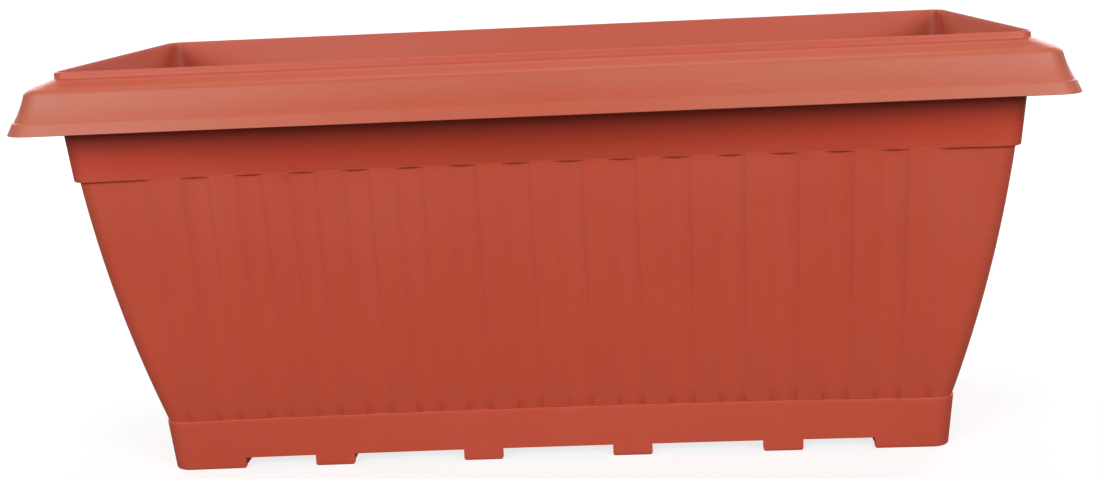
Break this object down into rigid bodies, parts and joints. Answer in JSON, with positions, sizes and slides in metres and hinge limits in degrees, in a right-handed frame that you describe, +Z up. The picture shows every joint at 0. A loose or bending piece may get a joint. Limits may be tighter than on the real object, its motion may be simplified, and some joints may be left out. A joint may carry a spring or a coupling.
{
  "type": "window box planter",
  "caption": "Rectangular moulded plastic planter with an overhanging skirt rim, ribbed curved walls on a footed plinth, lift-out drainage grids and pull-out drain plugs.",
  "frame": {"origin": "middle of the footprint, on the ground", "axes": "+X along the box, +Y towards the back, +Z up"},
  "size_m": [0.7994, 0.3694, 0.338],
  "materials": {
    "terracotta_plastic": "satin injection-moulded, evenly coloured, lightly scuffed",
    "grid_plastic": "matte injection-moulded",
    "plug_plastic": "soft matte"
  },
  "bodies": {
    "box": {"planter_box": "terracotta_plastic"},
    "grid_left": {"drainage_grid_left": "grid_plastic"},
    "grid_right": {"drainage_grid_right": "grid_plastic"},
    "plug_front_left": {"drain_plug_front_left": "plug_plastic"},
    "plug_front_middle": {"drain_plug_front_middle": "plug_plastic"},
    "plug_front_right": {"drain_plug_front_right": "plug_plastic"},
    "plug_back_left": {"drain_plug_back_left": "plug_plastic"},
    "plug_back_middle": {"drain_plug_back_middle": "plug_plastic"},
    "plug_back_right": {"drain_plug_back_right": "plug_plastic"}
  },
  "joints": [
    {"name": "grid_left_lift", "type": "slide", "parent": "box", "child": "grid_left", "axis": [0, 0, 1], "range_m": [0, 0.31]},
    {"name": "grid_right_lift", "type": "slide", "parent": "box", "child": "grid_right", "axis": [0, 0, 1], "range_m": [0, 0.31]},
    {"name": "plug_front_left_pull", "type": "slide", "parent": "box", "child": "plug_front_left", "axis": [0, 0, 1], "range_m": [0, 0.007]},
    {"name": "plug_front_middle_pull", "type": "slide", "parent": "box", "child": "plug_front_middle", "axis": [0, 0, 1], "range_m": [0, 0.007]},
    {"name": "plug_front_right_pull", "type": "slide", "parent": "box", "child": "plug_front_right", "axis": [0, 0, 1], "range_m": [0, 0.007]},
    {"name": "plug_back_left_pull", "type": "slide", "parent": "box", "child": "plug_back_left", "axis": [0, 0, 1], "range_m": [0, 0.007]},
    {"name": "plug_back_middle_pull", "type": "slide", "parent": "box", "child": "plug_back_middle", "axis": [0, 0, 1], "range_m": [0, 0.007]},
    {"name": "plug_back_right_pull", "type": "slide", "parent": "box", "child": "plug_back_right", "axis": [0, 0, 1], "range_m": [0, 0.007]}
  ]
}
